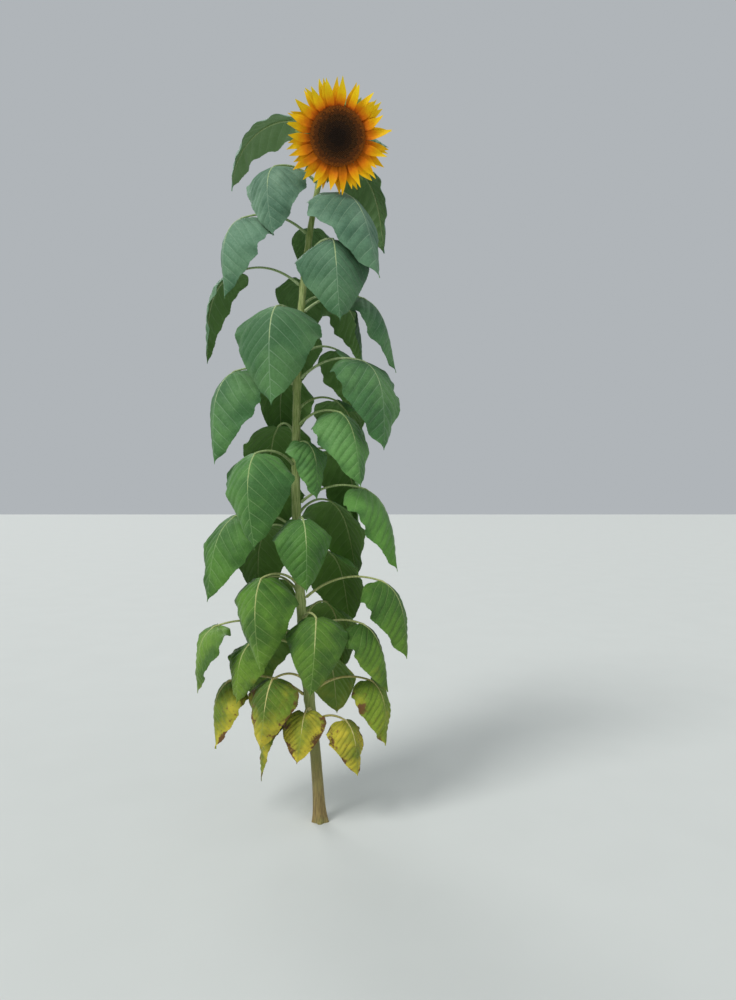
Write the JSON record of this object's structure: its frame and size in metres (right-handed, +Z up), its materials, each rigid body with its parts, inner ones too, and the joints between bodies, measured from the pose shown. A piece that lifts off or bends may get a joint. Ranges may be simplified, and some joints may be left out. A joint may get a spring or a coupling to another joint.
{
  "type": "sunflower plant",
  "caption": "Tall rooted sunflower plant with one stout leaning stem, broad drooping heart-shaped leaves and one nodding flower head at the top.",
  "frame": {"origin": "middle of the flat cut at ground level, where the stem meets the ground", "axes": "+Z up, the flower faces -Y, +X to the viewer's right"},
  "size_m": [0.862, 0.6117, 2.8959],
  "materials": {
    "stem": "matt, ribbed and rough-haired",
    "bract": "matt, finely haired",
    "ray": "soft satin",
    "disc": "matt, densely packed florets",
    "leaf_upper": "matt, rough-haired",
    "leaf_middle": "matt, rough-haired",
    "leaf_lower": "matt, rough-haired",
    "leaf_yellowing": "matt, drying"
  },
  "bodies": {
    "root": {"stem": "stem", "head_back": "bract", "ray_florets": "ray", "disc": "disc", "leaf_01": "leaf_upper", "leaf_02": "leaf_upper", "leaf_03": "leaf_upper", "leaf_04": "leaf_upper", "leaf_05": "leaf_upper", "leaf_06": "leaf_upper", "leaf_07": "leaf_upper", "leaf_08": "leaf_upper", "leaf_09": "leaf_upper", "leaf_10": "leaf_upper", "leaf_11": "leaf_upper", "leaf_12": "leaf_upper", "leaf_13": "leaf_middle", "leaf_14": "leaf_middle", "leaf_15": "leaf_middle", "leaf_16": "leaf_middle", "leaf_17": "leaf_middle", "leaf_18": "leaf_middle", "leaf_19": "leaf_lower", "leaf_20": "leaf_lower", "leaf_21": "leaf_lower", "leaf_22": "leaf_lower", "leaf_23": "leaf_lower", "leaf_24": "leaf_lower", "leaf_25": "leaf_yellowing", "leaf_26": "leaf_yellowing", "leaf_27": "leaf_yellowing", "leaf_28": "leaf_yellowing", "leaf_29": "leaf_yellowing", "leaf_30": "leaf_yellowing", "leaf_31": "leaf_upper", "leaf_32": "leaf_upper", "leaf_33": "leaf_upper", "leaf_34": "leaf_upper", "leaf_35": "leaf_upper", "leaf_36": "leaf_upper", "leaf_37": "leaf_upper", "leaf_38": "leaf_upper", "leaf_39": "leaf_middle", "leaf_40": "leaf_middle", "leaf_41": "leaf_middle", "leaf_42": "leaf_middle", "leaf_43": "leaf_middle", "leaf_44": "leaf_middle", "leaf_45": "leaf_middle", "leaf_46": "leaf_lower", "leaf_47": "leaf_lower", "leaf_48": "leaf_lower", "leaf_49": "leaf_lower"}
  },
  "joints": []
}
